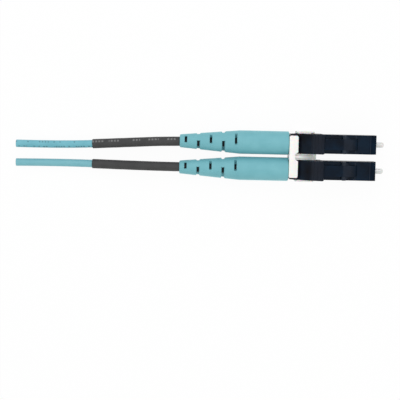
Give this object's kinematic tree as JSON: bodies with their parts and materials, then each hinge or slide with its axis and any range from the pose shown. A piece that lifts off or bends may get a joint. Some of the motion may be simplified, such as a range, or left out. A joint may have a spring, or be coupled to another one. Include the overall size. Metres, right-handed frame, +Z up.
{
  "type": "duplex lc fibre connector",
  "caption": "Duplex LC fibre connector: paired plugs with sprung ferrules, latch arms and anti-snag triggers in a push-fit clip, with bend-relief boots and thin cables.",
  "frame": {"origin": "midway between the ferrule tips and the boots' tails, on the middle plane between the plugs, at the height of the clip's underside", "axes": "+X along the ferrules towards their tips, +Z up on the latch side, +Y across towards plug a"},
  "size_m": [0.0879, 0.012, 0.0086],
  "materials": {
    "black_plastic": "moulded, glossy near-black with a navy tint",
    "clip_plastic": "moulded, off-white, slightly glossy",
    "boot_elastomer": "soft satin aqua",
    "zirconia": "ground and polished white",
    "silica": "clear",
    "nickel_plate": "turned and nickel plated",
    "spring_steel": "drawn wire",
    "crimp_metal": "drawn tube, crimped",
    "ptfe": "smooth translucent white",
    "shrink_charcoal": "heat-shrink, matt charcoal",
    "jacket_aqua": "extruded, satin aqua",
    "aramid": "fine yellow yarn",
    "buffer_plastic": "extruded, satin white"
  },
  "bodies": {
    "connector": {"duplex_clip": "clip_plastic", "coil_spring_a": "spring_steel", "front_housing_a": "black_plastic", "rear_body_a": "black_plastic", "crimp_body_a": "nickel_plate", "crimp_sleeve_a": "crimp_metal", "boot_a": "boot_elastomer", "cable_jacket_a": "jacket_aqua", "aramid_yarn_a": "aramid", "fibre_buffer_a": "buffer_plastic", "shrink_sleeve_a": "shrink_charcoal", "coil_spring_b": "spring_steel", "front_housing_b": "black_plastic", "rear_body_b": "black_plastic", "crimp_body_b": "nickel_plate", "crimp_sleeve_b": "crimp_metal", "boot_b": "boot_elastomer", "cable_jacket_b": "jacket_aqua", "aramid_yarn_b": "aramid", "fibre_buffer_b": "buffer_plastic", "shrink_sleeve_b": "shrink_charcoal"},
    "ferrule_unit_a": {"ferrule_a": "zirconia", "glass_fibre_a": "silica", "ferrule_flange_a": "nickel_plate", "guide_tube_a": "ptfe"},
    "trigger_body_a": {"trigger_a": "black_plastic"},
    "latch_body_a": {"latch_arm_a": "black_plastic"},
    "ferrule_unit_b": {"ferrule_b": "zirconia", "glass_fibre_b": "silica", "ferrule_flange_b": "nickel_plate", "guide_tube_b": "ptfe"},
    "trigger_body_b": {"trigger_b": "black_plastic"},
    "latch_body_b": {"latch_arm_b": "black_plastic"}
  },
  "joints": [
    {"name": "ferrule_float_a", "type": "slide", "parent": "connector", "child": "ferrule_unit_a", "axis": [-1, 0, 0], "range_m": [0, 0.0009], "stiffness_N_per_m": 1000, "springref_m": -0.005, "deforming": ["coil_spring_a"]},
    {"name": "trigger_press_a", "type": "hinge", "parent": "connector", "child": "trigger_body_a", "pos_m": [0.0043, 0.00313, 0.00498], "axis": [0, 1, 0], "range_deg": [0, 12], "stiffness_Nm_per_rad": 0.02},
    {"name": "latch_press_a", "type": "hinge", "parent": "connector", "child": "latch_body_a", "pos_m": [0.01749, 0.00313, 0.00496], "axis": [0, -1, 0], "range_deg": [0, 7.2]},
    {"name": "ferrule_float_b", "type": "slide", "parent": "connector", "child": "ferrule_unit_b", "axis": [-1, 0, 0], "range_m": [0, 0.0009], "stiffness_N_per_m": 1000, "springref_m": -0.005, "deforming": ["coil_spring_b"]},
    {"name": "trigger_press_b", "type": "hinge", "parent": "connector", "child": "trigger_body_b", "pos_m": [0.0043, -0.00313, 0.00498], "axis": [0, 1, 0], "range_deg": [0, 12], "stiffness_Nm_per_rad": 0.02},
    {"name": "latch_press_b", "type": "hinge", "parent": "connector", "child": "latch_body_b", "pos_m": [0.01749, -0.00313, 0.00496], "axis": [0, -1, 0], "range_deg": [0, 7.2]}
  ],
  "couplings": [
    {"joint": "latch_press_a", "follows": "trigger_press_a", "ratio": 0.6},
    {"joint": "latch_press_b", "follows": "trigger_press_b", "ratio": 0.6}
  ]
}
